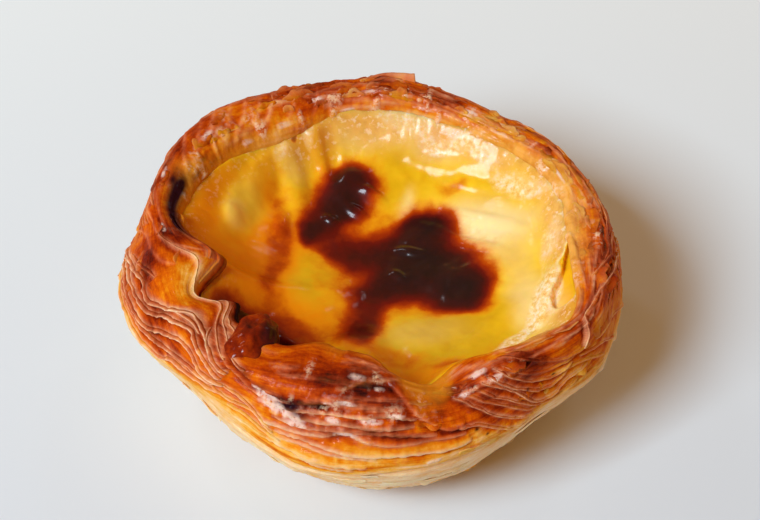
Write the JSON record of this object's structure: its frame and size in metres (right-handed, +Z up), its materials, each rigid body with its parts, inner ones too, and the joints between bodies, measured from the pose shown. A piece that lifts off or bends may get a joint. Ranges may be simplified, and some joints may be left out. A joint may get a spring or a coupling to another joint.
{
  "type": "portuguese custard tart",
  "caption": "Round open tart: a flaky laminated pastry case with an uneven browned rim, filled with sunken baked custard that has dark scorched spots.",
  "frame": {"origin": "middle of the flat base, on the surface that the tart rests on", "axes": "+Z up through the middle of the tart; -Y towards the side with the folded-in rim; +X towards the thin rim"},
  "size_m": [0.0776, 0.0734, 0.0292],
  "materials": {
    "pastry": "browned laminated pastry, amber to dark brown with pale cream leaf edges, half gloss from butter and sugar",
    "custard": "glossy yellow baked custard with amber and dark brown scorched patches"
  },
  "bodies": {
    "root": {"pastry_case": "pastry", "custard": "custard"}
  },
  "joints": []
}
